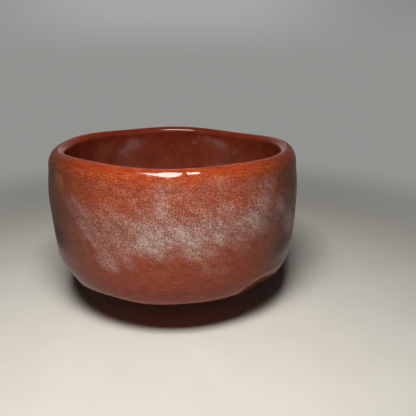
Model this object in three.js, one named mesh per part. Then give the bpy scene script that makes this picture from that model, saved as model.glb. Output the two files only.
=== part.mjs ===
// A red raku tea bowl, built by hand: one lump of earthenware pinched up and carved, a coat of red
// slip brushed over it, and a clear glaze over the slip. The foot stands bare on its bearing face.
// Millimetres, +Z up. The origin is on the standing plane, on the axis of the foot. The bowl's front
// faces -Y.
import * as THREE from "three";

// Outside of the clay, from the standing plane up
const footRadius = 26;
const footHeight = 5.6;
const footFlare = 1.3; // how much wider the foot is at its root than on the table
const footEdge = 0.7; // the small bevel on both edges of the foot's bearing face
const keelRadius = 47.6; // where the underside meets the carved hip
const keelHeight = 13.3;
const hipRadius = 57.6; // where the hip becomes the wall
const hipHeight = 20;
const bellyRadius = 59.9; // the widest part of the wall
const bellyHeight = 49.3;
const shoulderRadius = 58.7; // where the wall starts to roll in to the lip
const lipRadius = 54.9; // crest of the lip
const lipHeight = 73;
const lipRollHeight = 6.8; // from the shoulder up to the crest

// Inside of the clay
const footWidth = 6.2; // across the bearing face and its bevels
const wellHeight = 4.6; // ceiling of the hollow inside the foot
const wellCorner = 2.2; // round corner between the hollow's side and its ceiling
const nippleRadius = 7; // the little cone left by carving, in the middle of the hollow
const nippleHeight = 1.6;
const wallThickness = 4.6;
const lipThickness = 3.2; // from the crest in to the inner wall
const lipInnerDrop = 4;
const hipThickness = 4.6;
const floorThickness = 6.6; // from the hollow of the foot up to the pool
const floorRadius = 34;
const poolRadius = 15; // the shallow pool in the floor, where the last of the tea gathers
const poolDepth = 1.5;

// Coats
const slipThickness = 0.3;
const glazeThickness = 0.5;
const slipEdgeHeight = 1.7; // the slip stops this far above the table, on the foot's side
const slipShowing = 1.2; // the band of slip that the glaze leaves bare

// Fineness of the faceted surfaces
const sides = 48;
const wallSteps = 18;
const lipSteps = 4;
const innerLipSteps = 3;
const innerWallSteps = 9;
const wellSteps = 3;

// What the hands left, all small against the sizes above
const degrees = Math.PI / 180;
const quarterTurn = Math.PI / 2;
const ovals = [
  { count: 2, size: 0.2, turn: 0 },
  { count: 3, size: 0.25, turn: -31 },
];
const lipWaves = [
  { count: 1, size: 0.6, turn: -159 },
  { count: 2, size: 0.3, turn: -55 },
  { count: 3, size: 0.4, turn: -10 },
  { count: 5, size: 0.4, turn: 10 },
];
const lipWaveStart = 34; // below this height the lip's waves are gone

// Spatula cuts that trim the hip: turn about the axis, lean of the blade below level, and depth at
// the fullest point
const cuts = [
  { turn: -86, lean: 60, depth: 0.3 },
  { turn: -50, lean: 35, depth: 1.2 },
  { turn: -12, lean: 50, depth: 1.8 },
  { turn: 31, lean: 54, depth: 1.8 },
  { turn: 70, lean: 60, depth: 1.2 },
  { turn: 108, lean: 53, depth: 1.9 },
  { turn: 150, lean: 59, depth: 1.3 },
  { turn: 178, lean: 52, depth: 1.8 },
  { turn: 206, lean: 31, depth: 1.6 },
  { turn: 238, lean: 59, depth: 0.9 },
];

const point = (radius, height) => new THREE.Vector2(radius, height);
const along = (curve, steps) => curve.getSpacedPoints(steps);

function footSideRadius(height) {
  return footRadius + (footFlare * height) / footHeight;
}

// The outside of the clay from the foot's side to the crest of the lip. The slip starts at its first
// point, and the glaze at its second.
function outsideLine() {
  const footRoot = point(footSideRadius(footHeight), footHeight);
  const wall = new THREE.SplineCurve([
    footRoot,
    point(keelRadius, keelHeight),
    point(hipRadius, hipHeight),
    point(bellyRadius, bellyHeight),
    point(shoulderRadius, lipHeight - lipRollHeight),
  ]);
  const lipRoll = shoulderRadius - lipRadius;
  const lip = new THREE.EllipseCurve(
    lipRadius, lipHeight - lipRollHeight, lipRoll, lipRollHeight, 0, quarterTurn);
  return [
    point(footSideRadius(slipEdgeHeight), slipEdgeHeight),
    point(footSideRadius(slipEdgeHeight + slipShowing), slipEdgeHeight + slipShowing),
    ...along(wall, wallSteps),
    ...along(lip, lipSteps).slice(1),
  ];
}

// The inside of the clay from the crest of the lip to the middle of the floor.
function insideLine() {
  const innerLip = new THREE.EllipseCurve(
    lipRadius, lipHeight - lipInnerDrop, lipThickness, lipInnerDrop, quarterTurn, Math.PI);
  const poolHeight = wellHeight + floorThickness;
  const wall = new THREE.SplineCurve([
    point(lipRadius - lipThickness, lipHeight - lipInnerDrop),
    point(bellyRadius - wallThickness, bellyHeight),
    point(hipRadius - hipThickness, hipHeight + hipThickness),
    point(floorRadius, poolHeight + poolDepth),
    point(poolRadius, poolHeight),
    point(0, poolHeight),
  ]);
  return [...along(innerLip, innerLipSteps), ...along(wall, innerWallSteps).slice(1)];
}

// The hollow inside the foot, from the middle of its ceiling out and down to the bearing face.
function wellLine() {
  const cornerRadius = footRadius - footWidth - wellCorner;
  const cornerHeight = wellHeight - wellCorner;
  const corner = new THREE.EllipseCurve(
    cornerRadius, cornerHeight, wellCorner, wellCorner, quarterTurn, 0, true);
  return [
    point(0, wellHeight - nippleHeight),
    point(nippleRadius, wellHeight),
    ...along(corner, wellSteps),
  ];
}

// The free face of a coat: each point of the face it grips, moved out along the section's normal.
// The crest and the points on the axis move straight up or down, so that the coats of the two sides
// meet there.
function raised(line, thickness) {
  return line.map((at, i) => {
    const ahead = line[Math.min(i + 1, line.length - 1)];
    const behind = line[Math.max(i - 1, 0)];
    const way = ahead.clone().sub(behind).normalize();
    if (at.y === lipHeight) way.set(-1, 0);
    if (at.x === 0) way.set(Math.sign(way.x), 0);
    return at.clone().add(point(way.y, -way.x).multiplyScalar(thickness));
  });
}

const outside = outsideLine();
const inside = insideLine();
const well = wellLine();
const outerSlipFace = raised(outside, slipThickness);
const innerSlipFace = raised(inside, slipThickness);
const coatThickness = slipThickness + glazeThickness;
const outerGlazeFace = raised(outside, coatThickness).slice(1);
const innerGlazeFace = raised(inside, coatThickness);

// An outline is a list of corners. Each holds its place in the turned section, how far the coats
// under it raise it above the clay, and whether its row of faces grips the piece underneath.
const free = (line, rise = 0) => line.map((at) => ({ at, rise, grips: false }));
const gripping = (line, rise = 0) => line.map((at) => ({ at, rise, grips: true })).reverse();

function waves(list, angle) {
  const swells = list.map(({ count, size, turn }) => size * Math.cos(count * (angle - turn * degrees)));
  return swells.reduce((sum, swell) => sum + swell, 0);
}

// How far the fullest part of the clay reaches towards a blade that leans so far below level.
function reach(lean) {
  return Math.max(...outside.map((at) => at.x * Math.cos(lean) - at.y * Math.sin(lean)));
}

// A spatula cut is a plane: its outward direction, and its distance from the origin.
const blades = cuts.map(({ turn, lean, depth }) => {
  const level = Math.cos(lean * degrees);
  const ahead = level * Math.cos(turn * degrees);
  const aside = level * Math.sin(turn * degrees);
  const out = new THREE.Vector3(ahead, aside, -Math.sin(lean * degrees));
  return { out, distance: reach(lean * degrees) - depth };
});

// The one rule for all that hands and tools did to the turned form. Every layer goes through it.
function shapeByHand(place, rise) {
  const angle = Math.atan2(place.y, place.x);
  const wallShare = THREE.MathUtils.smoothstep(place.z, keelHeight, hipHeight + keelHeight);
  const lipShare = THREE.MathUtils.smoothstep(place.z, lipWaveStart, lipHeight);
  const grown = 1 + (wallShare * waves(ovals, angle)) / bellyRadius;
  place.set(place.x * grown, place.y * grown, place.z + lipShare * waves(lipWaves, angle));
  if (Math.hypot(place.x, place.y) < footSideRadius(footHeight)) return;
  for (const { out, distance } of blades) {
    const excess = out.dot(place) - distance - rise;
    if (excess > 0) place.addScaledVector(out, -excess);
  }
}

// Each quad of a turned surface is the triangles a b d and c d b. Faces that touch must be split
// alike, so a gripping row takes its other diagonal: a b c and c d a.
const quadCorners = 6;
function splitAlike(faces, outline) {
  const rows = outline.length - 1;
  for (let quad = 0; quad * quadCorners < faces.count; quad += 1) {
    if (!outline[quad % rows].grips) continue;
    const first = quad * quadCorners;
    const [a, b, , c, d] = faces.array.slice(first, first + quadCorners);
    faces.array.set([a, b, c, c, d, a], first);
  }
}

// Turns an outline about the axis, then shapes every corner of it by hand.
function handBuilt(outline) {
  const turned = new THREE.LatheGeometry(outline.map((corner) => corner.at), sides);
  turned.rotateX(quarterTurn);
  splitAlike(turned.index, outline);
  const places = turned.getAttribute("position");
  const place = new THREE.Vector3();
  for (let i = 0; i < places.count; i += 1) {
    place.fromBufferAttribute(places, i);
    shapeByHand(place, outline[i % outline.length].rise);
    places.setXYZ(i, place.x, place.y, place.z);
  }
  turned.computeVertexNormals();
  return turned;
}

// The clay: the hollow of the foot, its bearing face, the outside up to the crest, and the inside
// down to the floor.
function clayBody() {
  const wellRadius = footRadius - footWidth;
  const bearing = [
    point(wellRadius, footEdge),
    point(wellRadius + footEdge, 0),
    point(footRadius - footEdge, 0),
    point(footSideRadius(footEdge), footEdge),
  ];
  return handBuilt(free([...well, ...bearing, ...outside, ...inside.slice(1)]));
}

function outerSlip() {
  const face = free(outerSlipFace, slipThickness);
  return handBuilt([...face, ...gripping(outside), face[0]]);
}

function outerGlaze() {
  const face = free(outerGlazeFace, coatThickness);
  return handBuilt([...face, ...gripping(outerSlipFace.slice(1), slipThickness), face[0]]);
}

const innerSlip = () => handBuilt([...gripping(inside), ...free(innerSlipFace)]);
const innerGlaze = () => handBuilt([...gripping(innerSlipFace), ...free(innerGlazeFace)]);
const footWellGlaze = () => handBuilt([...free(raised(well, glazeThickness)), ...gripping(well)]);

// Finishes
const bareClay = { color: 0x9c5a41, roughness: 0.85 };
const redSlip = { color: 0xa34a2c, roughness: 0.7 };
const outerClearGlaze = { color: 0x9d5740, roughness: 0.2 };
const innerClearGlaze = { color: 0x7a3524, roughness: 0.18 };

function piece(name, geometry, finish) {
  const mesh = new THREE.Mesh(geometry, new THREE.MeshStandardMaterial(finish));
  mesh.name = name;
  return mesh;
}

const bowl = new THREE.Group();
bowl.name = "raku_tea_bowl";
bowl.add(
  piece("clay_body", clayBody(), bareClay),
  piece("outer_slip", outerSlip(), redSlip),
  piece("inner_slip", innerSlip(), redSlip),
  piece("outer_glaze", outerGlaze(), outerClearGlaze),
  piece("inner_glaze", innerGlaze(), innerClearGlaze),
  piece("foot_well_glaze", footWellGlaze(), outerClearGlaze),
);

export default bowl;
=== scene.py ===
import bpy
import math
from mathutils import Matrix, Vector
from mathutils.geometry import interpolate_bezier


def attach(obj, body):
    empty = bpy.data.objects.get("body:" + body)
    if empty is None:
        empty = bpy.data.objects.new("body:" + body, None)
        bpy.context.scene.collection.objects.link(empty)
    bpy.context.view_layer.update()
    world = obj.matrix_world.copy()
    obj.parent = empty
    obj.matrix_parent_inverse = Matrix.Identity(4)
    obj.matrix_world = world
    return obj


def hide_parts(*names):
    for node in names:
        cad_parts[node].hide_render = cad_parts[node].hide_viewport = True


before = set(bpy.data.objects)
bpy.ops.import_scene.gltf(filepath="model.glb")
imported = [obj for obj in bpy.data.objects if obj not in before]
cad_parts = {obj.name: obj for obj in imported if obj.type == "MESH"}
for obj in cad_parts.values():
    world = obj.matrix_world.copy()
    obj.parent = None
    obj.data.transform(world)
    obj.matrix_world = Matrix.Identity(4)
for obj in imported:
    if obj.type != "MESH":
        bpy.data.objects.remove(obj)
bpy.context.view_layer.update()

# The clay body: one lump of red earthenware, pinched up by hand. The lip is pressed in, the hip is trimmed
# with a spatula, and the foot ring is carved out of the same lump. Only the foot's edge and its bearing face
# stay bare.
mm = 0.001
foot_radius = 26 * mm
foot_height = 5.6 * mm
foot_flare = 1.3 * mm
foot_edge = 0.7 * mm
foot_width = 6.2 * mm
well_radius = foot_radius - foot_width
well_height, well_corner = 4.6 * mm, 2.2 * mm
nipple_radius, nipple_height = 7 * mm, 1.6 * mm
keel_radius, keel_height = 47.6 * mm, 13.3 * mm
hip_radius, hip_height = 57.6 * mm, 20 * mm
belly_radius, belly_height = 59.9 * mm, 49.3 * mm
shoulder_radius = 58.7 * mm
lip_radius, lip_height, lip_roll = 54.9 * mm, 73 * mm, 6.8 * mm
lip_thickness, lip_inner_drop = 2.5 * mm, 1.7 * mm
wall_thickness, hip_thickness, floor_thickness = 4.6 * mm, 4.6 * mm, 6.6 * mm
floor_radius, pool_radius, pool_depth = 34 * mm, 15 * mm, 1.5 * mm
# The slip ends at this height on the foot's side, and the glaze leaves so much of the slip showing.
slip_edge, slip_showing = 1.7 * mm, 1.2 * mm
# A curve is worked out in so many steps before its points are spaced evenly. On the lip the points lie
# closer, by this share, and on the foot's side no further apart than this.
curve_steps = 60
lip_closeness = 0.7
foot_side_spacing = 0.25 * mm
# What lies nearer than this counts as touching.
touching = 1e-9


def evenly(line, spacing):
    """The same line with its points that far apart, or a little less."""
    lengths = [0]
    for here, there in zip(line, line[1:]):
        lengths.append(lengths[-1] + (there - here).length)
    count = max(1, math.ceil(lengths[-1] / spacing))
    points, at = [], 0
    for step in range(count + 1):
        wanted = lengths[-1] * step / count
        while at < len(line) - 2 and lengths[at + 1] < wanted:
            at += 1
        share = (wanted - lengths[at]) / (lengths[at + 1] - lengths[at])
        points.append(line[at].lerp(line[at + 1], share))
    return points


def through(stations, spacing):
    """A smooth line through the stations."""
    line = [Vector(stations[0])]
    ends = [stations[0], *stations, stations[-1]]
    for before, here, there, after in zip(ends, ends[1:], ends[2:], ends[3:]):
        here, there = Vector(here), Vector(there)
        out = here + (there - Vector(before)) / 6
        back = there - (Vector(after) - here) / 6
        bend = interpolate_bezier(*(place.to_3d() for place in (here, out, back, there)), curve_steps)
        line += [place.to_2d() for place in bend[1:]]
    return evenly(line, spacing)


def rounded(centre, across, up, start, end, spacing):
    """Part of an ellipse, between two angles in degrees."""
    turns = [math.radians(start + (end - start) * step / curve_steps) for step in range(curve_steps + 1)]
    line = [Vector((centre[0] + across * math.cos(turn), centre[1] + up * math.sin(turn))) for turn in turns]
    return evenly(line, spacing)


def foot_side(height):
    """A point on the foot's side, which widens towards the foot's root."""
    return Vector((foot_radius + foot_flare * height / foot_height, height))


def outside_line(spacing, start):
    """The outside of the clay, from a height on the foot's side to the crest of the lip."""
    side = evenly([foot_side(start), foot_side(foot_height)], min(spacing, foot_side_spacing))
    shoulder_height = lip_height - lip_roll
    wall = through([foot_side(foot_height), (keel_radius, keel_height), (hip_radius, hip_height),
                    (belly_radius, belly_height), (shoulder_radius, shoulder_height)], spacing)
    lip = rounded((lip_radius, shoulder_height), shoulder_radius - lip_radius, lip_roll, 0, 90,
                  spacing * lip_closeness)
    return side + wall[1:] + lip[1:]


def inside_line(spacing):
    """The inside of the clay, from the crest of the lip to the middle of the floor."""
    pool = well_height + floor_thickness
    inner_lip_height = lip_height - lip_inner_drop
    lip = rounded((lip_radius, inner_lip_height), lip_thickness, lip_inner_drop, 90, 180,
                  spacing * lip_closeness)
    wall = through([(lip_radius - lip_thickness, inner_lip_height),
                    (belly_radius - wall_thickness, belly_height),
                    (hip_radius - hip_thickness, hip_height + hip_thickness),
                    (floor_radius, pool + pool_depth), (pool_radius, pool), (0, pool)], spacing)
    return lip + wall[1:]


def well_line(spacing):
    """The hollow inside the foot, from the middle of its ceiling to the bevel of the bearing face. The cone
    that carving leaves in the middle is given as shares of its radius and height."""
    corner_radius = well_radius - well_corner
    cone = [(nipple_radius * out, well_height - nipple_height * down) for out, down in
            ((0, 1), (0.45, 0.7), (1, 0.06))]
    ceiling = through([*cone, (corner_radius, well_height)], spacing)
    corner = rounded((corner_radius, well_height - well_corner), well_corner, well_corner, 90, 0, spacing)
    return ceiling + corner[1:]


def raised(line, thickness):
    """The free face of a coat over a line, as thick as given or as listed for each point. At the crest and
    on the axis it goes straight up or down."""
    if not isinstance(thickness, list):
        thickness = [thickness] * len(line)
    face = []
    for i, at in enumerate(line):
        way = (line[min(i + 1, len(line) - 1)] - line[max(i - 1, 0)]).normalized()
        if at.y >= lip_height - touching:
            way = Vector((-1, 0))
        if at.x < touching:
            way = Vector((math.copysign(1, way.x), 0))
        face.append(at + Vector((way.y, -way.x)) * thickness[i])
    return face


class Wire:
    """A socket of a node tree that can be reckoned with like a number."""

    def __init__(self, tree, socket):
        self.tree, self.socket = tree, socket

    def reckon(self, operation, *others):
        node = self.tree.nodes.new("ShaderNodeMath")
        node.operation = operation
        feed(self.tree, node, self, *others)
        return Wire(self.tree, node.outputs[0])

    def __add__(self, other):
        return self.reckon("ADD", other)

    def __sub__(self, other):
        return self.reckon("SUBTRACT", other)

    def __mul__(self, other):
        return self.reckon("MULTIPLY", other)

    def __truediv__(self, other):
        return self.reckon("DIVIDE", other)

    def __rsub__(self, other):
        return (self * -1) + other

    __radd__, __rmul__ = __add__, __mul__

    def cos(self):
        return self.reckon("COSINE")

    def sin(self):
        return self.reckon("SINE")

    def between(self, low, high, out_low=0.0, out_high=1.0, smooth=True):
        """Eased from one value to another as this one goes from low to high."""
        kind = "SMOOTHSTEP" if smooth else "LINEAR"
        return add(self.tree, "ShaderNodeMapRange", self, low, high, out_low, out_high,
                   interpolation_type=kind)


def feed(tree, node, *sources):
    """Feeds a node's sockets in their order, from wires or plain values. None leaves a socket as it is."""
    for socket, source in zip([s for s in node.inputs if s.enabled], sources):
        if isinstance(source, Wire):
            tree.links.new(source.socket, socket)
        elif source is not None:
            socket.default_value = source


def add(tree, kind, *sources, out=0, **settings):
    """A new node with its settings made and its sockets fed, as a wire from one of its outputs."""
    node = tree.nodes.new(kind)
    for name, value in settings.items():
        setattr(node, name, value)
    feed(tree, node, *sources)
    outlets = [s for s in node.outputs if s.enabled]
    return Wire(tree, outlets[out] if isinstance(out, int) else node.outputs[out])


def parts(tree, vector):
    """The three numbers of a vector."""
    return [Wire(tree, s) for s in add(tree, "ShaderNodeSeparateXYZ", vector).socket.node.outputs]


def noise(tree, place, closeness, detail, roughness, out=0):
    """A random pattern, with so many swells to each metre of the place."""
    return add(tree, "ShaderNodeTexNoise", place, closeness, detail, roughness, out=out)


def waved(angle, waves, share):
    """The sum of waves round the bowl, each given as a count, a size, and the turn of a peak in degrees."""
    total = 0
    for count, size, turn in waves:
        total = ((angle - math.radians(turn)) * count).cos() * size + total
    return total * share


ovals = [(2, 0.2 * mm, 0), (3, 0.25 * mm, -31)]
lip_waves = [(1, 0.6 * mm, -159), (2, 0.3 * mm, -55), (3, 0.4 * mm, -10), (5, 0.4 * mm, 10)]
lip_wave_start = 34 * mm
# Where the lip sags: turn, half width in degrees, and how far down.
lip_sags = [(-90, 60, 0.42 * mm), (121, 17, 0.5 * mm)]
# Finger presses slant round the wall: how many there are, their size, how many degrees they turn for each
# metre up, and the turn at the table's height of one of the swells between them.
finger_presses, press_size, press_slant, press_turn = 7, 0.16 * mm, 900, -62
# Lumps in the wall: their size, and how closely they lie.
lump_size, lump_closeness = 0.3 * mm, 55.0
# Each cut's turn about the axis, the lean of the blade below level, and its depth in millimetres.
spatula_cuts = [(-86, 60, 0.3), (-50, 35, 1.2), (-12, 50, 1.8), (31, 54, 1.8), (70, 60, 1.2),
                (108, 53, 1.9), (150, 59, 1.3), (178, 52, 1.8), (206, 31, 1.6), (238, 59, 0.9)]
cut_softness = 0.5 * mm
# Flats that fingers pressed into the lip, in the same terms. They face up, so their lean is negative. The
# depth is measured from the plain turned lip, so it is least where the lip's waves lie low.
lip_flats = [(-91, -41, 0.886), (-82.3, -41, 0.64), (-40, -35, 0.27), (12, -48, 0.45), (63, -40, 0.8),
             (131, -50, 0.12), (-152, -38, -0.34)]
flat_softness = 0.12 * mm
# Small pinches in the lip: turn, half width in degrees, and how far the lip stands out.
lip_pinches = [(-85.1, 2, -0.5 * mm), (-61, 2.5, 0.15 * mm), (-107, 3, -0.12 * mm), (-20, 3, 0.15 * mm),
               (32, 2, -0.15 * mm), (77, 1.6, 0.18 * mm), (86, 1.5, -0.12 * mm), (110, 3, 0.14 * mm),
               (160, 3, 0.15 * mm)]
# The two places where the wall stands out just above the trimmed hip, and the groove that the spatula left
# under the first: turn, half width, height, reach and size.
hip_bulges = [(-38, 20, 23.3 * mm, 1.3 * mm, 0.5 * mm), (-38, 18, 22.1 * mm, 0.5 * mm, -0.3 * mm),
              (-155, 11, 24.2 * mm, 2.6 * mm, 0.5 * mm)]
# One long shaving runs round the hip under the first of them: its turn, the lean of the blade below level,
# its distance from the origin, and how far it runs to each side in degrees, at its full depth and at most.
shaving_turn, shaving_lean, shaving_distance = -38, 24, 44.65 * mm
shaving_full, shaving_most, shaving_softness = 19, 31, 0.06 * mm
# The carving tool's spiral in the hollow of the foot. Between the last two heights, which lie over the
# hollow's ceiling, it comes to an end, and so the floor inside the bowl has none.
spiral_pitch, spiral_depth = 5 * mm, 0.16 * mm
spiral_top, spiral_end = 6 * mm, 8 * mm
# How closely the runs in a coat's lower edge follow each other round the foot.
run_closeness = 7
# Over how much of the underside, from the foot's root outwards, the cuts come in.
cut_start = 1.5 * mm


def bump(angle, turn, half_width):
    """1 at one turn round the bowl, easing to 0 on both sides of it."""
    return (((angle - math.radians(turn)).cos() - 1) / math.radians(half_width) ** 2).reckon("EXPONENT")


def make_hand_shaping():
    """A node group for all that hands and tools did to the turned form. The coats go through it too."""
    tree = bpy.data.node_groups.new("hand shaping", "GeometryNodeTree")
    face = tree.interface
    face.new_socket("Place", in_out="INPUT", socket_type="NodeSocketVector")
    for name in ("Rise", "Relief", "Edge wander", "Edge seed"):
        face.new_socket(name, in_out="INPUT", socket_type="NodeSocketFloat")
    face.new_socket("Place", in_out="OUTPUT", socket_type="NodeSocketVector")
    face.new_socket("Trimmed", in_out="OUTPUT", socket_type="NodeSocketFloat")
    given = tree.nodes.new("NodeGroupInput")
    place, rise, relief, wander, seed = (Wire(tree, s) for s in given.outputs[:5])
    x, y, z = parts(tree, place)
    angle = y.reckon("ARCTAN2", x)
    radius = (x * x + y * y).reckon("SQRT")
    on_wall = z.between(keel_height, hip_height + keel_height)
    on_lip = z.between(lip_wave_start, lip_height)
    outline = waved(angle, ovals, on_wall)
    slant = (angle - math.radians(press_turn) - z * press_slant * math.radians(1)) * finger_presses
    presses = slant.cos() * press_size * on_wall * (1 - on_lip)
    lumps = noise(tree, place, lump_closeness, 2.0, 0.5)
    relief = (lumps - 0.5) * relief * on_wall
    near_crest = z.between(lip_height - lip_roll, lip_height - lip_roll * 0.4)
    for turn, half_width, size in lip_pinches:
        relief = relief + bump(angle, turn, half_width) * near_crest * size
    for turn, half_width, height, reach, size in hip_bulges:
        level = (z - height) / reach
        relief = relief + bump(angle, turn, half_width) * (level * level * -1).reckon("EXPONENT") * size
    ahead, aside = x / radius * run_closeness, y / radius * run_closeness
    round_the_foot = add(tree, "ShaderNodeCombineXYZ", ahead, aside, seed)
    runs = noise(tree, round_the_foot, 5.0, 2.0, 0.5)
    on_foot_side = z.between(foot_height, slip_edge + slip_showing)
    on_foot_side = on_foot_side * radius.between(foot_radius - 1.5 * mm, foot_radius - mm)
    drop = (runs - 0.5) * wander * on_foot_side
    in_well = z.between(spiral_end, spiral_top) * radius.between(0, 3 * mm)
    in_well = in_well * radius.between(well_radius - mm, well_radius - 4 * mm)
    spiral = (angle - radius * (math.tau / spiral_pitch)).cos() * in_well * spiral_depth
    grown = (outline + presses + relief) / belly_radius + drop * (foot_flare / foot_height) / radius + 1
    lifted = z + waved(angle, lip_waves, on_lip) + drop + spiral
    for turn, half_width, size in lip_sags:
        lifted = lifted - bump(angle, turn, half_width) * on_lip * size
    foot_root = foot_radius + foot_flare
    beyond_foot = radius.between(foot_root, foot_root + cut_start)

    # The shaving takes the wall back level by level. Each cut is a plane that the clay is pushed back to.
    lean = math.radians(shaving_lean)
    past = radius * grown * math.cos(lean) - lifted * math.sin(lean) - rise - shaving_distance
    most, full = (math.cos(math.radians(reach)) for reach in (shaving_most, shaving_full))
    in_reach = (angle - math.radians(shaving_turn)).cos().between(most, full)
    trimmed = past.reckon("SMOOTH_MAX", 0.0, shaving_softness) * in_reach * beyond_foot
    inwards = grown - trimmed * math.cos(lean) / radius
    shaped = add(tree, "ShaderNodeCombineXYZ", x * inwards, y * inwards, lifted + trimmed * math.sin(lean))
    stations = outside_line(0.5 * mm, slip_edge)
    for cuts, softness in ((spatula_cuts, cut_softness), (lip_flats, flat_softness)):
        for turn, lean, depth in cuts:
            lean, turn = math.radians(lean), math.radians(turn)
            out = (math.cos(lean) * math.cos(turn), math.cos(lean) * math.sin(turn), -math.sin(lean))
            reach = max(p.x * math.cos(lean) - p.y * math.sin(lean) for p in stations) - depth * mm
            towards = add(tree, "ShaderNodeVectorMath", shaped, out, operation="DOT_PRODUCT", out="Value")
            past = (towards - rise - reach).reckon("SMOOTH_MAX", 0.0, softness) * beyond_foot
            taken = add(tree, "ShaderNodeVectorMath", out, operation="SCALE")
            tree.links.new(past.socket, taken.socket.node.inputs["Scale"])
            shaped = add(tree, "ShaderNodeVectorMath", shaped, taken, operation="SUBTRACT")
            if cuts is spatula_cuts:
                trimmed = trimmed + past
    feed(tree, tree.nodes.new("NodeGroupOutput"), shaped, trimmed)
    return tree


hand_shaping = make_hand_shaping()


def make_turntable():
    """Turns an outline about the axis and shapes it by hand. The outline's points carry how far the coats
    under them raise them above the clay."""
    tree = bpy.data.node_groups.new("turned and shaped by hand", "GeometryNodeTree")
    face = tree.interface
    face.new_socket("Outline", in_out="INPUT", socket_type="NodeSocketGeometry")
    for name, kind, value in (("Sides", "NodeSocketInt", 240), ("Relief", "NodeSocketFloat", lump_size),
                              ("Edge wander", "NodeSocketFloat", 0.0), ("Edge seed", "NodeSocketFloat", 0.0),
                              ("Material", "NodeSocketMaterial", None)):
        socket = face.new_socket(name, in_out="INPUT", socket_type=kind)
        if value is not None:
            socket.default_value = value
    face.new_socket("Piece", in_out="OUTPUT", socket_type="NodeSocketGeometry")
    given = tree.nodes.new("NodeGroupInput")
    outline, sides, relief, wander, seed, material = (Wire(tree, s) for s in given.outputs[:6])
    rows = add(tree, "GeometryNodeAttributeDomainSize", outline, component="MESH", out="Point Count")
    sheet = add(tree, "GeometryNodeMeshGrid", 1.0, 1.0, sides + 1, rows)
    index = add(tree, "GeometryNodeInputIndex")
    column = ((index + 0.5) / rows).reckon("FLOOR")
    row = index - column * rows
    position = add(tree, "GeometryNodeInputPosition")
    rise = add(tree, "GeometryNodeInputNamedAttribute", "rise", data_type="FLOAT")
    corner = add(tree, "GeometryNodeSampleIndex", outline, position, row, data_type="FLOAT_VECTOR",
                 domain="POINT")
    lift = add(tree, "GeometryNodeSampleIndex", outline, rise, row, data_type="FLOAT", domain="POINT")
    radius, _, height = parts(tree, corner)
    angle = column / sides * math.tau
    turned = add(tree, "ShaderNodeCombineXYZ", radius * angle.cos(), radius * angle.sin(), height)
    shaping = tree.nodes.new("GeometryNodeGroup")
    shaping.node_tree = hand_shaping
    feed(tree, shaping, turned, lift, relief, wander, seed)
    shaped, trimmed = (Wire(tree, s) for s in shaping.outputs[:2])
    piece = add(tree, "GeometryNodeSetPosition", sheet, True, shaped)
    kept = add(tree, "GeometryNodeStoreNamedAttribute", piece, True, "trimmed", trimmed, data_type="FLOAT",
               domain="POINT")
    closed = add(tree, "GeometryNodeMergeByDistance", kept, True, 0.002 * mm)
    smooth = add(tree, "GeometryNodeSetShadeSmooth", closed)
    real = add(tree, "GeometryNodeRealizeInstances", smooth)
    done = add(tree, "GeometryNodeSetMaterial", real, True, material)
    feed(tree, tree.nodes.new("NodeGroupOutput"), done)
    return tree


turntable = make_turntable()


def set_inputs(modifier, values):
    """Sets a modifier's inputs, which are named in its node group."""
    sockets = [s for s in modifier.node_group.interface.items_tree if s.in_out == "INPUT"]
    for name, value in values.items():
        modifier[next(s.identifier for s in sockets if s.name == name)] = value


def settle(thing, name):
    """The thing with its modifiers made real, as a plain object with a name of its own."""
    bpy.context.view_layer.update()
    seen = thing.evaluated_get(bpy.context.evaluated_depsgraph_get())
    mesh = bpy.data.meshes.new_from_object(seen)
    mesh.name = name
    settled = bpy.data.objects.new(name, mesh)
    bpy.context.scene.collection.objects.link(settled)
    bpy.data.objects.remove(thing)
    return settled


def hand_built(name, outline, sides, material, wander=0.0, seed=0.0):
    """A piece from its outline: a list of corners, each with its place and the thickness of the coats under
    it. The wander is how far its edge on the foot's side strays up and down."""
    line = bpy.data.meshes.new(name + " outline")
    edges = [(i, i + 1) for i in range(len(outline) - 1)]
    line.from_pydata([(at.x, 0, at.y) for at, _ in outline], edges, [])
    rise = line.attributes.new("rise", "FLOAT", "POINT")
    rise.data.foreach_set("value", [lift for _, lift in outline])
    thing = bpy.data.objects.new(name + " outline", line)
    bpy.context.scene.collection.objects.link(thing)
    shaping = thing.modifiers.new("shaping", "NODES")
    shaping.node_group = turntable
    set_inputs(shaping, {"Sides": sides, "Relief": lump_size, "Edge wander": wander, "Edge seed": seed,
                         "Material": material})
    return settle(thing, name)


def lined(line, rise=0.0):
    """Corners of an outline from the points of a line, all raised alike."""
    return [(at, rise) for at in line]


def new_material(name):
    """A material with its tree, its shader and the piece's own coordinates, in metres."""
    material = bpy.data.materials.new(name)
    material.use_nodes = True
    tree = material.node_tree
    place = Wire(tree, tree.nodes.new("ShaderNodeTexCoord").outputs["Object"])
    return material, tree, tree.nodes["Principled BSDF"], place


def toned(tree, along, tones):
    """A colour that eases through the tones as the value passes their places."""
    low, high = tones[0][0], tones[-1][0]
    node = tree.nodes.new("ShaderNodeValToRGB")
    node.color_ramp.interpolation = "EASE"
    while len(node.color_ramp.elements) < len(tones):
        node.color_ramp.elements.new(0.5)
    for element, (at, colour) in zip(node.color_ramp.elements, tones):
        element.position, element.color = (at - low) / (high - low), (*colour, 1)
    tree.links.new(along.between(low, high, smooth=False).socket, node.inputs["Fac"])
    return Wire(tree, node.outputs["Color"])


def mixed(tree, share, one, other):
    """The first colour, turning into the other as the share goes from 0 to 1."""
    return add(tree, "ShaderNodeMix", share, one, other, data_type="RGBA")


def speckled(tree, place, apart, size):
    """Round specks about that far apart and that share of the distance wide. Those of little chance are left
    out."""
    spot = add(tree, "ShaderNodeTexVoronoi", place, 1 / apart, feature="F1").socket.node
    distance, chance = Wire(tree, spot.outputs["Distance"]), Wire(tree, spot.outputs["Color"])
    return distance.between(size, size * 0.4) * chance.reckon("GREATER_THAN", 0.35)


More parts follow.
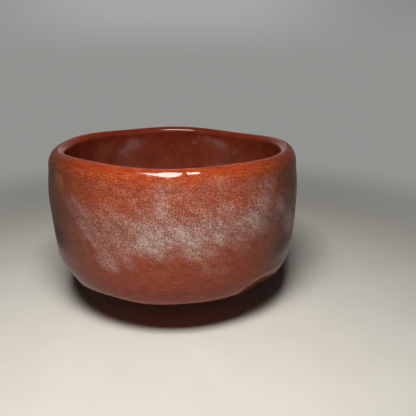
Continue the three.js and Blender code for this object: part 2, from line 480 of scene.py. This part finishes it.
bare_clay, tree, shader, place = new_material("bare earthenware")
patches = noise(tree, place, 120.0, 4.0, 0.6).between(0.3, 0.7)
sand = noise(tree, place, 1800.0, 3.0, 0.7).between(0.3, 0.7)
clay_colour = mixed(tree, patches, (0.30, 0.115, 0.06, 1), (0.46, 0.21, 0.12, 1))
clay_colour = mixed(tree, sand * 0.4, clay_colour, (0.56, 0.33, 0.21, 1))
pale_grog = speckled(tree, place, 1.5 * mm, 0.22)
dark_grog = speckled(tree, place, 2.3 * mm, 0.16)
grains = add(tree, "ShaderNodeAttribute", attribute_name="grain", out="Fac")
pale_sand = (pale_grog + grains).reckon("MINIMUM", 1.0)
clay_colour = mixed(tree, pale_sand * 0.7, clay_colour, (0.70, 0.52, 0.38, 1))
clay_colour = mixed(tree, dark_grog * 0.8, clay_colour, (0.06, 0.03, 0.02, 1))
# The bearing face has picked up some dirt where the foot has worn on tables.
worn = parts(tree, place)[2].between(0.5 * mm, 0.05 * mm) * patches
clay_colour = mixed(tree, worn * 0.35, clay_colour, (0.17, 0.08, 0.05, 1))
tree.links.new(clay_colour.socket, shader.inputs["Base Color"])
tree.links.new((sand * 0.15 + 0.75).socket, shader.inputs["Roughness"])
grit = sand + patches * 0.6 + pale_grog * 0.8 - dark_grog * 0.5
gritty = add(tree, "ShaderNodeBump", 0.8, 0.15 * mm, None, grit)
tree.links.new(gritty.socket, shader.inputs["Normal"])

# How far apart the outline's points lie: on bare clay, under the coats, and on the foot's bevels and flats.
fine, hidden = 0.8 * mm, 2.4 * mm
bevel_spacing, flat_spacing = 0.2 * mm, 0.4 * mm
clay_sides = 240
inner_bevel, outer_bevel = well_radius + foot_edge, foot_radius - foot_edge
bearing = (
    [Vector((well_radius, foot_edge + 0.6 * mm))]
    + rounded((inner_bevel, foot_edge), foot_edge, foot_edge, 180, 270, bevel_spacing)
    + evenly([Vector((inner_bevel, 0)), Vector((outer_bevel, 0))], flat_spacing)[1:]
    + rounded((outer_bevel, foot_edge), foot_edge, foot_edge, 270, 360, bevel_spacing)[1:]
    + evenly([foot_side(foot_edge + 0.2 * mm), foot_side(slip_edge)], flat_spacing)[:-1]
)
clay_line = well_line(fine) + bearing + outside_line(hidden, slip_edge) + inside_line(hidden)[1:]
turned_clay = hand_built("turned clay", lined(clay_line), clay_sides, bare_clay)


def make_sanding():
    """Grains of sand that stand out of the bare clay on the foot ring."""
    tree = bpy.data.node_groups.new("sand in the clay", "GeometryNodeTree")
    face = tree.interface
    face.new_socket("Clay", in_out="INPUT", socket_type="NodeSocketGeometry")
    for name, kind in (("Grains per square metre", "NodeSocketFloat"), ("Smallest", "NodeSocketFloat"),
                       ("Largest", "NodeSocketFloat"), ("Seed", "NodeSocketInt"),
                       ("Material", "NodeSocketMaterial")):
        face.new_socket(name, in_out="INPUT", socket_type=kind)
    face.new_socket("Clay", in_out="OUTPUT", socket_type="NodeSocketGeometry")
    given = tree.nodes.new("NodeGroupInput")
    clay, density, smallest, largest, seed, material = (Wire(tree, s) for s in given.outputs[:6])
    x, y, z = parts(tree, add(tree, "GeometryNodeInputPosition"))
    radius = (x * x + y * y).reckon("SQRT")
    bare = (z.reckon("LESS_THAN", slip_edge) * radius.reckon("GREATER_THAN", well_radius - 0.1 * mm)
            * radius.reckon("LESS_THAN", foot_radius + foot_flare))
    points = add(tree, "GeometryNodeDistributePointsOnFaces", clay, bare, density, seed)
    size = add(tree, "FunctionNodeRandomValue", smallest, largest, None, seed, data_type="FLOAT")
    resting = add(tree, "ShaderNodeCombineXYZ", x, y, z.reckon("MAXIMUM", size))
    points = add(tree, "GeometryNodeSetPosition", points, True, resting)
    grain = add(tree, "GeometryNodeMeshIcoSphere", 1.0, 1)
    grain = add(tree, "GeometryNodeStoreNamedAttribute", grain, True, "grain", 1.0, data_type="FLOAT",
                domain="POINT")
    turned = add(tree, "FunctionNodeRandomValue", (0, 0, 0), (math.tau,) * 3, None, seed,
                 data_type="FLOAT_VECTOR")
    shape = add(tree, "ShaderNodeCombineXYZ", size, size * 0.8, size * 0.7)
    grains = add(tree, "GeometryNodeInstanceOnPoints", points, True, grain, None, None, turned, shape)
    both = tree.nodes.new("GeometryNodeJoinGeometry")
    for part in (clay, grains):
        tree.links.new(part.socket, both.inputs[0])
    real = add(tree, "GeometryNodeRealizeInstances", Wire(tree, both.outputs[0]))
    feed(tree, tree.nodes.new("NodeGroupOutput"), add(tree, "GeometryNodeSetMaterial", real, True, material))
    return tree


sanding = turned_clay.modifiers.new("sand", "NODES")
sanding.node_group = make_sanding()
set_inputs(sanding, {"Grains per square metre": 450000.0, "Smallest": 0.05 * mm, "Largest": 0.2 * mm,
                     "Seed": 7, "Material": bare_clay})
clay_body = settle(turned_clay, "clay_body_fine")
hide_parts("clay_body")
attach(clay_body, "root")

# The slip: red iron clay thinned to a cream and brushed over the outside and the inside, down to just above
# the foot's bearing face. A narrow band of it shows under the edge of the glaze.
slip_thickness = 0.3 * mm
slip_spacing, slip_sides = 1.6 * mm, 240
slip_bead, slip_wander, slip_seed = 0.03 * mm, 1.6 * mm, 3.0
# How far above a coat's edge its bead is fullest, in how many of these reaches it has died out, and how fast
# the edge rounds up to the coat's thickness.
bead_reach, bead_end, edge_roundness = 0.8 * mm, 3.0, 1.5
# The face by which a coat grips keeps one point in so many, because nothing shows of it.
grip_thinning = 3


def scaled(tree, vector, *amounts):
    """A vector with each of its parts multiplied."""
    return add(tree, "ShaderNodeVectorMath", vector, tuple(amounts), operation="MULTIPLY")


red_slip, tree, shader, place = new_material("red slip")
brushed = noise(tree, scaled(tree, place, 0.12, 0.12, 1), 1500.0, 3.0, 0.65).between(0.3, 0.7)
thick = noise(tree, place, 160.0, 3.0, 0.6).between(0.3, 0.7)
slip_colour = mixed(tree, brushed * 0.6 + thick * 0.4, (0.27, 0.052, 0.020, 1), (0.43, 0.105, 0.040, 1))
slip_colour = mixed(tree, speckled(tree, place, 1.1 * mm, 0.2) * 0.5, slip_colour, (0.14, 0.03, 0.015, 1))
tree.links.new(slip_colour.socket, shader.inputs["Base Color"])
tree.links.new((thick * 0.2 + 0.55).socket, shader.inputs["Roughness"])
ridged = add(tree, "ShaderNodeBump", 0.7, 0.08 * mm, None, brushed + thick * 0.5)
tree.links.new(ridged.socket, shader.inputs["Normal"])


def thinned(grip):
    """The corners of a gripping face with most left out, but for its ends and the lip."""
    near_lip = lip_height - lip_roll * 1.1
    held = [g for i, g in enumerate(grip[1:-1], 1) if i % grip_thinning == 0 or g[0].y > near_lip]
    return [grip[0], *held, grip[-1]]


def outer_coat(name, under, over, start, spacing, sides, material, bead, wander, seed):
    """A coat over the outside, closed at its lower edge, where it gathers in a small round bead. It grips
    what lies at the height under and ends at over."""
    line = outside_line(spacing, start)
    thickness = []
    for at in line:
        above = min(max((at.y - start) / bead_reach, 0.0), bead_end)
        rounding = math.sqrt(1 - max(1 - above * edge_roundness, 0) ** 2)
        thickness.append(under + (over - under) * rounding + bead * above * math.exp(1 - above * above))
    free = lined(raised(line, thickness), over)
    grip = lined(raised(line, under), under)[::-1]
    return hand_built(name, free + thinned(grip) + [free[0]], sides, material, wander, seed)


def inner_coat(name, under, over, spacing, sides, material):
    """A coat over the inside, from the crest of the lip down to the floor."""
    line = inside_line(spacing)
    free = lined(raised(line, over), over)
    grip = lined(raised(line, under), under)[::-1]
    return hand_built(name, thinned(grip) + free, sides, material)


outer_slip = outer_coat("outer_slip_fine", 0.0, slip_thickness, slip_edge, slip_spacing, slip_sides,
                        red_slip, slip_bead, slip_wander, slip_seed)
inner_slip = inner_coat("inner_slip_fine", 0.0, slip_thickness, slip_spacing, slip_sides, red_slip)
for piece, node in ((outer_slip, "outer_slip"), (inner_slip, "inner_slip")):
    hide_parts(node)
    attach(piece, "root")

# The glaze: clear, glossy and finely crackled, brushed over the slip outside and inside and pooled in the
# hollow of the foot. The outside went milky in clouds where the fire cooled it fastest.
glaze_thickness = 0.5 * mm
coats = slip_thickness + glaze_thickness
outer_spacing, outer_sides = 0.75 * mm, 480
inner_spacing, inner_sides = 0.9 * mm, 400
well_sides = 160
glaze_bead, glaze_wander, glaze_seed = 0.12 * mm, 2.6 * mm, 11.0
glaze_ior = 1.45


def make_cloud():
    """A node group for one cloud in the glaze. Turns are in degrees from the front, rightwards, heights and
    reaches in millimetres. The drift is how many degrees it moves to the left for each millimetre up."""
    tree = bpy.data.node_groups.new("cloud in the glaze", "ShaderNodeTree")
    for name in ("Turn", "Height", "Middle turn", "Middle height", "Half width", "Reach up", "Reach down",
                 "Drift", "Strength"):
        tree.interface.new_socket(name, in_out="INPUT", socket_type="NodeSocketFloat")
    tree.interface.new_socket("Cloud", in_out="OUTPUT", socket_type="NodeSocketFloat")
    given = [Wire(tree, s) for s in tree.nodes.new("NodeGroupInput").outputs[:9]]
    turn, height, middle, level, half_width, up, down, drift, strength = given
    above = height - level
    aside = (turn - middle + above * drift).reckon("WRAP", 180.0, -180.0) / half_width
    over = above.reckon("MAXIMUM", 0.0) / up
    under = above.reckon("MINIMUM", 0.0) / down
    distance = (aside * aside + over * over + under * under).reckon("SQRT")
    feed(tree, tree.nodes.new("NodeGroupOutput"), distance.between(1.0, 0.15) * strength)
    return tree


cloud_group = make_cloud()


def clouded(tree, turn, height, clouds):
    """The sum of some clouds, each given as the group's last seven inputs, and at most 1."""
    total = None
    for cloud in clouds:
        node = tree.nodes.new("ShaderNodeGroup")
        node.node_tree = cloud_group
        feed(tree, node, turn, height, *cloud)
        here = Wire(tree, node.outputs[0])
        total = here if total is None else total + here
    return total.reckon("MINIMUM", 1.0)


def shifted(tree, vector, colours, amount):
    """A vector moved about by a coloured pattern."""
    off = add(tree, "ShaderNodeVectorMath", colours, (0.5, 0.5, 0.5), operation="SUBTRACT")
    off = scaled(tree, off, amount, amount, amount)
    return add(tree, "ShaderNodeVectorMath", vector, off, operation="ADD")


def crackled(tree, place, cell):
    """How deep a spot lies inside its crackle cell, from 0 on the wavy lines of the net to half a cell."""
    wander = noise(tree, place, 1.4 / cell, 1.0, 0.5, out="Color")
    place = shifted(tree, place, wander, cell * 0.9)
    return add(tree, "ShaderNodeTexVoronoi", place, 1 / cell, feature="DISTANCE_TO_EDGE", out="Distance")


def on_the_wall(tree, place):
    """A spot's turn from the front in degrees and its height in millimetres, both plain and wandering."""
    x, y, z = parts(tree, place)
    turn, height = x.reckon("ARCTAN2", y * -1) * math.degrees(1), z / mm
    far, near, _ = parts(tree, noise(tree, place, 85.0, 3.0, 0.55, out="Color"))
    return turn, height, turn + (far - 0.5) * 20, height + (near - 0.5) * 14


def scaled_colour(tree, colour, amount):
    """A colour made lighter or darker."""
    lighter = add(tree, "ShaderNodeVectorMath", colour, operation="SCALE")
    tree.links.new(amount.socket, lighter.socket.node.inputs["Scale"])
    return lighter


outer_red, tree, shader, place = new_material("clear glaze over red, outside")
turn, height, loose_turn, loose_height = on_the_wall(tree, place)
x, y, z = parts(tree, place)

# The milky clouds: turn, height, half width, reach up, reach down, drift and strength. First come those
# whose edges wander, then small ones with plain edges. A negative strength thins the milk.
milk_clouds = [
    (-9.5, 45, 9, 12, 8.5, 0.3, 0.5), (4, 46.5, 9, 10, 7, 0.4, 0.6), (8, 44, 6, 6, 4, 0.3, 0.12),
    (-4, 61, 3, 13, 13, 0, 0.22), (0, 65, 16, 7, 7, 0, 0.1),
    (16.5, 47, 6, 11, 6, 0.5, 0.28), (30, 50, 11, 14, 9, 0.3, 0.38), (38, 62, 9, 9, 9, 0.3, 0.2),
    (-33, 44, 10, 16, 13, 1.1, 0.19), (-27, 35, 8, 9, 6, 1, 0.33), (-19, 43, 6, 12, 8, 0.6, 0.22),
    (-42, 56, 8, 9, 8, 1, 0.12), (-4, 48, 54, 18, 13, 0.2, 0.23), (32, 51, 24, 16, 8, 0.2, 0.08),
    (11, 35, 4, 8, 9, 0.9, 0.12), (-24, 66, 12, 6, 6, 0, 0.06), (22, 66, 18, 6, 6, 0, 0.12),
    (0, 52, 80, 20, 18, 0, 0.06),
    (100, 49, 62, 22, 16, 0.2, 0.32), (-170, 47, 70, 20, 16, 0.2, 0.34), (-105, 48, 40, 18, 16, 0.2, 0.22),
    (75, 52, 16, 16, 12, 0.4, 0.25), (103, 42, 13, 16, 8, 0.5, 0.4), (130, 50, 16, 15, 11, 0.5, 0.25),
    (152, 40, 12, 18, 7, 0.4, 0.5), (178, 47, 14, 16, 9, 0.4, 0.35), (-152, 42, 15, 16, 9, 0.5, 0.42),
    (-122, 50, 14, 14, 11, 0.6, 0.28), (-95, 40, 14, 16, 8, 0.4, 0.25), (168, 62, 5, 10, 12, 0, 0.25),
]
milk_patches = [
    (6, 40.5, 5.5, 5, 4.5, 0.4, 0.4), (-6, 41, 4.5, 5, 3.5, 0.3, -0.22), (-25, 49, 10, 7, 6, 0.8, -0.14),
    (48, 53, 6, 8, 6, 0.3, 0.26), (36, 56, 5, 6, 5, 0.3, 0.2), (19, 57.5, 6, 5, 4, 0.3, 0.22),
    (58, 42, 10, 11, 9, 0.2, 0.4), (35, 46, 9, 4, 5, 0.3, 0.2), (-19, 36, 5, 5, 4.5, 0.5, 0.22),
    (58, 66, 14, 10, 7, 0, -0.3), (-58, 34, 14, 10, 9, 0, -0.3), (49, 33, 9, 5, 5, 0, -0.25),
]
clouds = clouded(tree, loose_turn, loose_height, milk_clouds) + clouded(tree, turn, height, milk_patches)
# Streaks run through the clouds, a degree round the bowl for each millimetre of height.
twist = turn * math.radians(1) + height * math.radians(1)
radius = (x * x + y * y).reckon("SQRT")
slanting = add(tree, "ShaderNodeCombineXYZ", radius * twist.cos(), radius * twist.sin(), z * 0.25)
streaks = noise(tree, slanting, 240.0, 3.0, 0.6).between(0.34, 0.66)
on_middle = height.between(26, 40) * height.between(68, 52)
milk = (clouds * (streaks * 0.36 + 0.82) + on_middle * (streaks - 0.5) * 0.1).reckon("MAXIMUM", 0.0)

# The milk is whitest along the lines of the crackle. The rows are those of the brushed slip under it.
net = crackled(tree, place, 1.1 * mm)
grain = noise(tree, place, 2300.0, 1.0, 0.5).between(0.38, 0.62)
clumps = noise(tree, place, 420.0, 2.0, 0.6).between(0.38, 0.62)
rows = noise(tree, scaled(tree, place, 0.13, 0.13, 1), 2000.0, 2.0, 0.6).between(0.36, 0.64)
worms = (net + (grain - 0.5) * 0.08).between(0.15, 0.05) * (clumps * 0.5 + grain * 0.8 + 0.25)
white = (milk * (worms * 0.9 + grain * 0.4 + clumps * 0.15 + 0.14)).reckon("MINIMUM", 0.95)

# The red under the glaze by height in millimetres. It is lively above the hip, and plain on the lip's crest.
reds = toned(tree, height, [
    (8, (0.18, 0.028, 0.011)), (20, (0.235, 0.034, 0.013)), (32, (0.29, 0.042, 0.014)),
    (50, (0.25, 0.038, 0.014)), (63, (0.30, 0.044, 0.013)), (70, (0.31, 0.042, 0.011)),
    (75, (0.27, 0.038, 0.011))])
lively = (1 - height.between(44, 30) * 0.8) * height.between(73, 70)
reds = scaled_colour(tree, reds, (rows - 0.5) * 0.45 + (grain - 0.4) * 0.25 * lively + 1)
reds = mixed(tree, worms * (rows * 0.5 + 0.3) * lively * 0.7, reds, (0.66, 0.19, 0.075, 1))
# Both sides are darker and browner: painted shade where the lamp's light falls off round the bowl, with some
# real browning by the fire and a few smaller darker and lighter patches. The fire scorched the left side
# round a golden spot.
side_shade_and_browning = clouded(tree, turn, height, [
    (-73, 45, 54, 90, 90, 0, 0.85), (70, 45, 52, 90, 90, 0, 0.85), (-60, 38, 14, 10, 8, 0, 0.2),
    (68, 66, 14, 12, 12, 0, -0.15), (49, 32, 10, 7, 7, 0, 0.3), (63, 40, 9, 8, 8, 0, -0.25)])
reds = mixed(tree, side_shade_and_browning, reds, (0.075, 0.017, 0.009, 1))
scorch = clouded(tree, loose_turn, loose_height, [
    (-60, 69, 9, 7, 9, 0, 0.75), (-66, 58, 13, 14, 18, 0, 0.75)])
reds = mixed(tree, scorch, reds, (0.08, 0.040, 0.012, 1))
golden = clouded(tree, loose_turn, loose_height, [
    (-54, 67, 6, 4, 6, 0, 0.62), (-57, 60, 5, 6, 8, 0, 0.12)])
reds = mixed(tree, golden * (grain * 0.6 + worms * 0.3 + 0.2), reds, (0.40, 0.155, 0.03, 1))
# The red is lighter along the edges of the spatula's cuts: partly thin slip there, partly a painted
# highlight of the light line that the ridges catch.
trimmed = add(tree, "ShaderNodeAttribute", attribute_name="trimmed", out="Fac") / mm
reds = mixed(tree, trimmed.between(0, 0.1) * trimmed.between(0.5, 0.1) * 0.12, reds, (0.45, 0.13, 0.06, 1))
pale = mixed(tree, scorch, (0.65, 0.51, 0.46, 1), (0.30, 0.19, 0.08, 1))
colour = mixed(tree, white, reds, pale)
# Dark pinholes and bright bubbles in the milk.
milky = milk.between(0.3, 0.75)
pinholes = speckled(tree, place, 1.15 * mm, 0.19)
colour = mixed(tree, pinholes * milky * 0.65, colour, (0.07, 0.045, 0.035, 1))
elsewhere = add(tree, "ShaderNodeVectorMath", place, (0.7 * mm, 0.3 * mm, 0.5 * mm), operation="ADD")
bubbles = speckled(tree, elsewhere, 1.3 * mm, 0.19) * (milky * 0.85 + 0.05)
colour = mixed(tree, bubbles, colour, (0.9, 0.82, 0.78, 1))
tree.links.new(colour.socket, shader.inputs["Base Color"])
matt = side_shade_and_browning * height.between(20, 38) * 0.5
tree.links.new((milk * 0.16 + matt + 0.09).socket, shader.inputs["Roughness"])
shader.inputs["IOR"].default_value = glaze_ior
shader.inputs["Specular IOR Level"].default_value = 0.4
peel = noise(tree, place, 260.0, 2.0, 0.5)
skin = add(tree, "ShaderNodeBump", 0.5, 0.05 * mm, None, peel * 0.8 + worms * 0.25 - pinholes * milky * 0.6)
tree.links.new(skin.socket, shader.inputs["Normal"])

inner_red, tree, shader, place = new_material("clear glaze over red, inside")
turn, height, loose_turn, loose_height = on_the_wall(tree, place)
net = crackled(tree, place, 1.3 * mm)
grain = noise(tree, place, 1300.0, 2.0, 0.6).between(0.34, 0.66)
mottle = noise(tree, place, 110.0, 4.0, 0.6).between(0.3, 0.7)
reds = toned(tree, height, [
    (12, (0.16, 0.030, 0.014)), (30, (0.19, 0.036, 0.017)), (56, (0.23, 0.042, 0.021)),
    (66, (0.21, 0.032, 0.014)), (70, (0.18, 0.022, 0.008)), (74, (0.17, 0.019, 0.006))])
reds = scaled_colour(tree, reds, mottle * 0.35 + grain * 0.2 + 0.72)
lines = net.between(0.1, 0.02)
reds = mixed(tree, lines * 0.14, reds, (0.42, 0.16, 0.08, 1))
x, y, _ = parts(tree, place)
pooled = (x * x + y * y).reckon("SQRT").between(19 * mm, 12 * mm)
reds = mixed(tree, pooled * 0.55, reds, (0.085, 0.014, 0.007, 1))
# Faint pale smudges on the inner wall, in the same terms as the clouds. Those high on the back of the wall
# are partly painted reflections of the room.
smudges_and_painted_reflections = clouded(tree, loose_turn, loose_height, [
    (-130, 62, 12, 6, 5, 0, 0.18), (-147, 60, 6, 4, 3, 0, 0.18), (150, 63, 9, 4, 4, 0, 0.18),
    (138, 61, 5, 4, 3, 0, 0.22), (166, 64, 4, 3, 3, 0, 0.25), (-60, 40, 20, 10, 7, 0, 0.3),
    (30, 34, 26, 8, 7, 0, 0.3), (95, 44, 14, 9, 6, 0, 0.35)])
colour = mixed(tree, smudges_and_painted_reflections * (grain * 0.5 + lines * 0.3 + 0.2), reds, (0.5, 0.33, 0.28, 1))
tree.links.new(colour.socket, shader.inputs["Base Color"])
shader.inputs["Roughness"].default_value = 0.12
shader.inputs["IOR"].default_value = glaze_ior

outer_glaze = outer_coat("outer_glaze_fine", slip_thickness, coats, slip_edge + slip_showing, outer_spacing,
                         outer_sides, outer_red, glaze_bead, glaze_wander, glaze_seed)
inner_glaze = inner_coat("inner_glaze_fine", slip_thickness, coats, inner_spacing, inner_sides, inner_red)
well = well_line(fine)
well_outline = lined(raised(well, glaze_thickness)) + lined(well[::-1])
well_glaze = hand_built("foot_well_glaze_fine", well_outline, well_sides, outer_red)
for piece, node, finish in ((outer_glaze, "outer_glaze", "outer_clear_glaze"),
                            (inner_glaze, "inner_glaze", "inner_clear_glaze"),
                            (well_glaze, "foot_well_glaze", "outer_clear_glaze")):
    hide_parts(node)
    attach(piece, "root")

# The table: one large sheet of pale paper that the bowl stands on. It shows no edge, because away from the
# bowl, for the camera and the glaze's reflections, it turns into a painted glow in the tone of the room,
# dimmer towards the sides.
sheet_reach = 30000 * mm
# The room's tone, and how far from the bowl's middle the paper begins to turn into it and has turned.
room_tone = (0.29, 0.29, 0.28)
room_start, room_end = 110 * mm, 330 * mm
# How far the camera stands in front of the bowl's middle, and how far from there the room's sides dim.
viewer_back = 208 * mm
dim_start, dim_end = 150 * mm, 700 * mm


def seen_directly(tree):
    """1 for what the camera, a gloss or a glass shows, 0 for the light that surfaces receive."""
    path = tree.nodes.new("ShaderNodeLightPath")
    kinds = ("Is Camera Ray", "Is Glossy Ray", "Is Transmission Ray")
    camera_ray, glossy_ray, glass_ray = (Wire(tree, path.outputs[kind]) for kind in kinds)
    return (camera_ray + glossy_ray + glass_ray).reckon("MINIMUM", 1.0)


def sideways(across, ahead):
    """How far a direction on the level points to the right, from -1 to 1."""
    return across / (across * across + ahead * ahead).reckon("SQRT")


def side_brightness(aside):
    """How bright the room is towards one side, against the wall behind the bowl."""
    return aside.between(-0.8, -0.4, 0.35, 1.0) * aside.between(0.53, 0.85, 1.0, 0.3)


sheet = bpy.data.objects.new("sheet", bpy.data.meshes.new("sheet"))
bpy.context.scene.collection.objects.link(sheet)
square = ((-1, -1), (1, -1), (1, 1), (-1, 1))
sheet.data.from_pydata([(x * sheet_reach, y * sheet_reach, 0) for x, y in square], [], [(0, 1, 2, 3)])
paper, tree, shader, place = new_material("pale paper")
mottle = noise(tree, place, 28.0, 4.0, 0.6)
paper_colour = toned(tree, mottle, [(0.25, (0.66, 0.635, 0.58)), (0.75, (0.70, 0.675, 0.62))])
tree.links.new(paper_colour.socket, shader.inputs["Base Color"])
shader.inputs["Roughness"].default_value = 0.75
away = add(tree, "ShaderNodeVectorMath", place, operation="LENGTH", out="Value")
away = away.between(room_start, room_end)
x, y, _ = parts(tree, place)
ahead = y + viewer_back
dimmed = (x * x + ahead * ahead).reckon("SQRT").between(dim_start, dim_end)
brightness = 1 - (1 - side_brightness(sideways(x, ahead))) * dimmed
# Painted glow: far from the bowl the camera and reflections see the room's tone instead of the lit paper,
# darker towards the sides as painted shade.
room = add(tree, "ShaderNodeEmission", (*room_tone, 1), brightness)
blend = add(tree, "ShaderNodeMixShader", away * seen_directly(tree), Wire(tree, shader.outputs[0]), room)
tree.links.new(blend.socket, tree.nodes["Material Output"].inputs["Surface"])
sheet.data.materials.append(paper)

# The light: one soft lamp close above the front of the bowl, in a dim room. What is seen of the room is pale
# walls, darker towards the sides and the upper corners, and black overhead.
world = bpy.data.worlds.new("room")
bpy.context.scene.world = world
world.use_nodes = True
tree = world.node_tree
dim = tree.nodes["Background"]
dim.inputs["Color"].default_value, dim.inputs["Strength"].default_value = (0.9, 0.95, 1.0, 1), 0.015
across, ahead, up = parts(tree, Wire(tree, tree.nodes.new("ShaderNodeTexCoord").outputs["Generated"]))
aside = sideways(across, ahead)
in_corners = up.between(0, 0.13) * aside.reckon("ABSOLUTE").between(0.12, 0.5) * 0.32
wall_tones = toned(tree, up, [(0, room_tone), (0.13, (0.39, 0.385, 0.38)), (0.35, (0.2, 0.2, 0.2)),
                              (0.7, (0.02, 0.02, 0.02))])
walls = add(tree, "ShaderNodeBackground", wall_tones, side_brightness(aside) * (1 - in_corners))
blend = add(tree, "ShaderNodeMixShader", seen_directly(tree), Wire(tree, dim.outputs[0]), walls)
tree.links.new(blend.socket, tree.nodes["World Output"].inputs["Surface"])

lamp = bpy.data.objects.new("soft lamp", bpy.data.lights.new("soft lamp", "AREA"))
bpy.context.scene.collection.objects.link(lamp)
lamp.data.shape, lamp.data.size, lamp.data.size_y = "RECTANGLE", 130 * mm, 85 * mm
lamp.data.energy, lamp.data.color = 1.05, (1.0, 0.98, 0.94)
lamp.location = Vector((-20, -145, 289)) * mm
lamp.visible_camera = False

# The camera stands 22 cm from the middle of the bowl and looks slightly down and a little to the right. Its
# focal length and the picture's width are in pixels.
middle = Vector((0, 0, 39.1 * mm))
distance, elevation = 220 * mm, math.radians(18.865)
look_down, look_right = 18.887, 0.0804
focal_length, picture_width, sensor_width = 418.6, 416, 36
camera = bpy.data.objects.new("camera", bpy.data.cameras.new("camera"))
bpy.context.scene.collection.objects.link(camera)
camera.data.sensor_width = sensor_width
camera.data.lens = focal_length / picture_width * sensor_width
camera.location = middle + distance * Vector((0, -math.cos(elevation), math.sin(elevation)))
camera.rotation_euler = (math.radians(90 - look_down), 0, -look_right)
bpy.context.scene.camera = camera
bpy.context.scene.view_settings.view_transform = "Standard"
